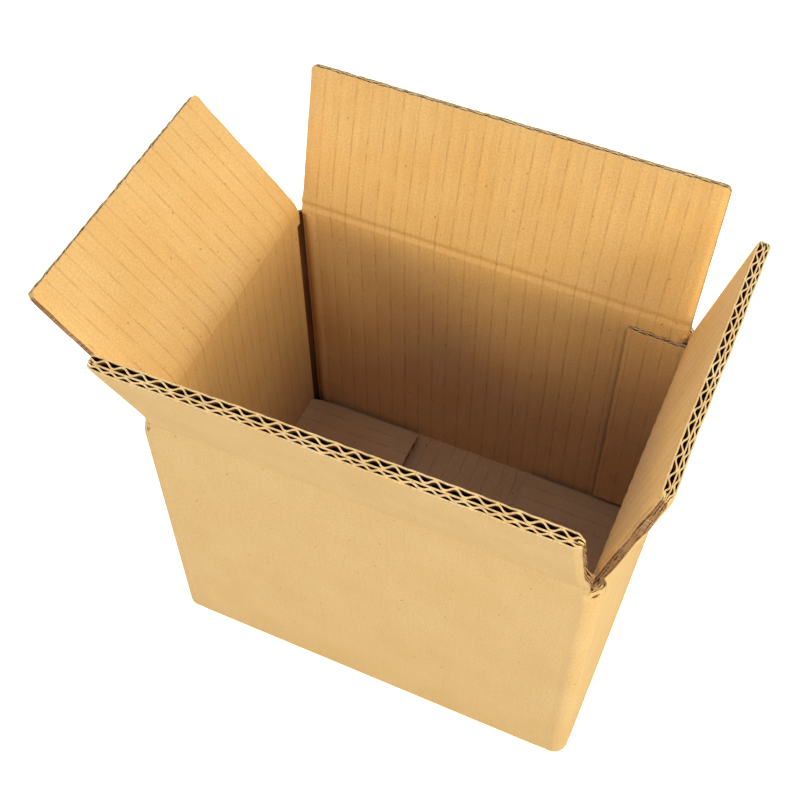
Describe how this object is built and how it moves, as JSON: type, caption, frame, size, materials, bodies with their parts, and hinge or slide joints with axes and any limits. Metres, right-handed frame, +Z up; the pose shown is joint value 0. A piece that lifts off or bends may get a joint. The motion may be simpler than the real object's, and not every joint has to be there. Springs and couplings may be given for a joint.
{
  "type": "corrugated shipping box",
  "caption": "Open slotted carton of double-wall corrugated board with four hinged top flaps, a glued corner joint and a taped bottom.",
  "frame": {"origin": "centre of the base, on the surface that the carton stands on", "axes": "+X along the length, to the right; +Y from the front wall to the back wall; +Z up"},
  "size_m": [0.2734, 0.1941, 0.234],
  "materials": {
    "kraft_board": "matte kraft paper liner",
    "paper_tape": "matte gummed kraft paper"
  },
  "bodies": {
    "carton": {"box_body": "kraft_board", "bottom_tape": "paper_tape"},
    "front_flap": {"front_flap": "kraft_board"},
    "back_flap": {"back_flap": "kraft_board"},
    "left_flap": {"left_flap": "kraft_board"},
    "right_flap": {"right_flap": "kraft_board"}
  },
  "joints": [
    {"name": "front_flap_hinge", "type": "hinge", "parent": "carton", "child": "front_flap", "pos_m": [0, -0.0718, 0.1658], "axis": [1, 0, 0], "range_deg": [-111, 99]},
    {"name": "back_flap_hinge", "type": "hinge", "parent": "carton", "child": "back_flap", "pos_m": [0, 0.0718, 0.1658], "axis": [-1, 0, 0], "range_deg": [-106, 104]},
    {"name": "left_flap_hinge", "type": "hinge", "parent": "carton", "child": "left_flap", "pos_m": [-0.1018, 0, 0.1591], "axis": [0, -1, 0], "range_deg": [-131, 79]},
    {"name": "right_flap_hinge", "type": "hinge", "parent": "carton", "child": "right_flap", "pos_m": [0.1018, 0, 0.1591], "axis": [0, 1, 0], "range_deg": [-103, 107]}
  ]
}
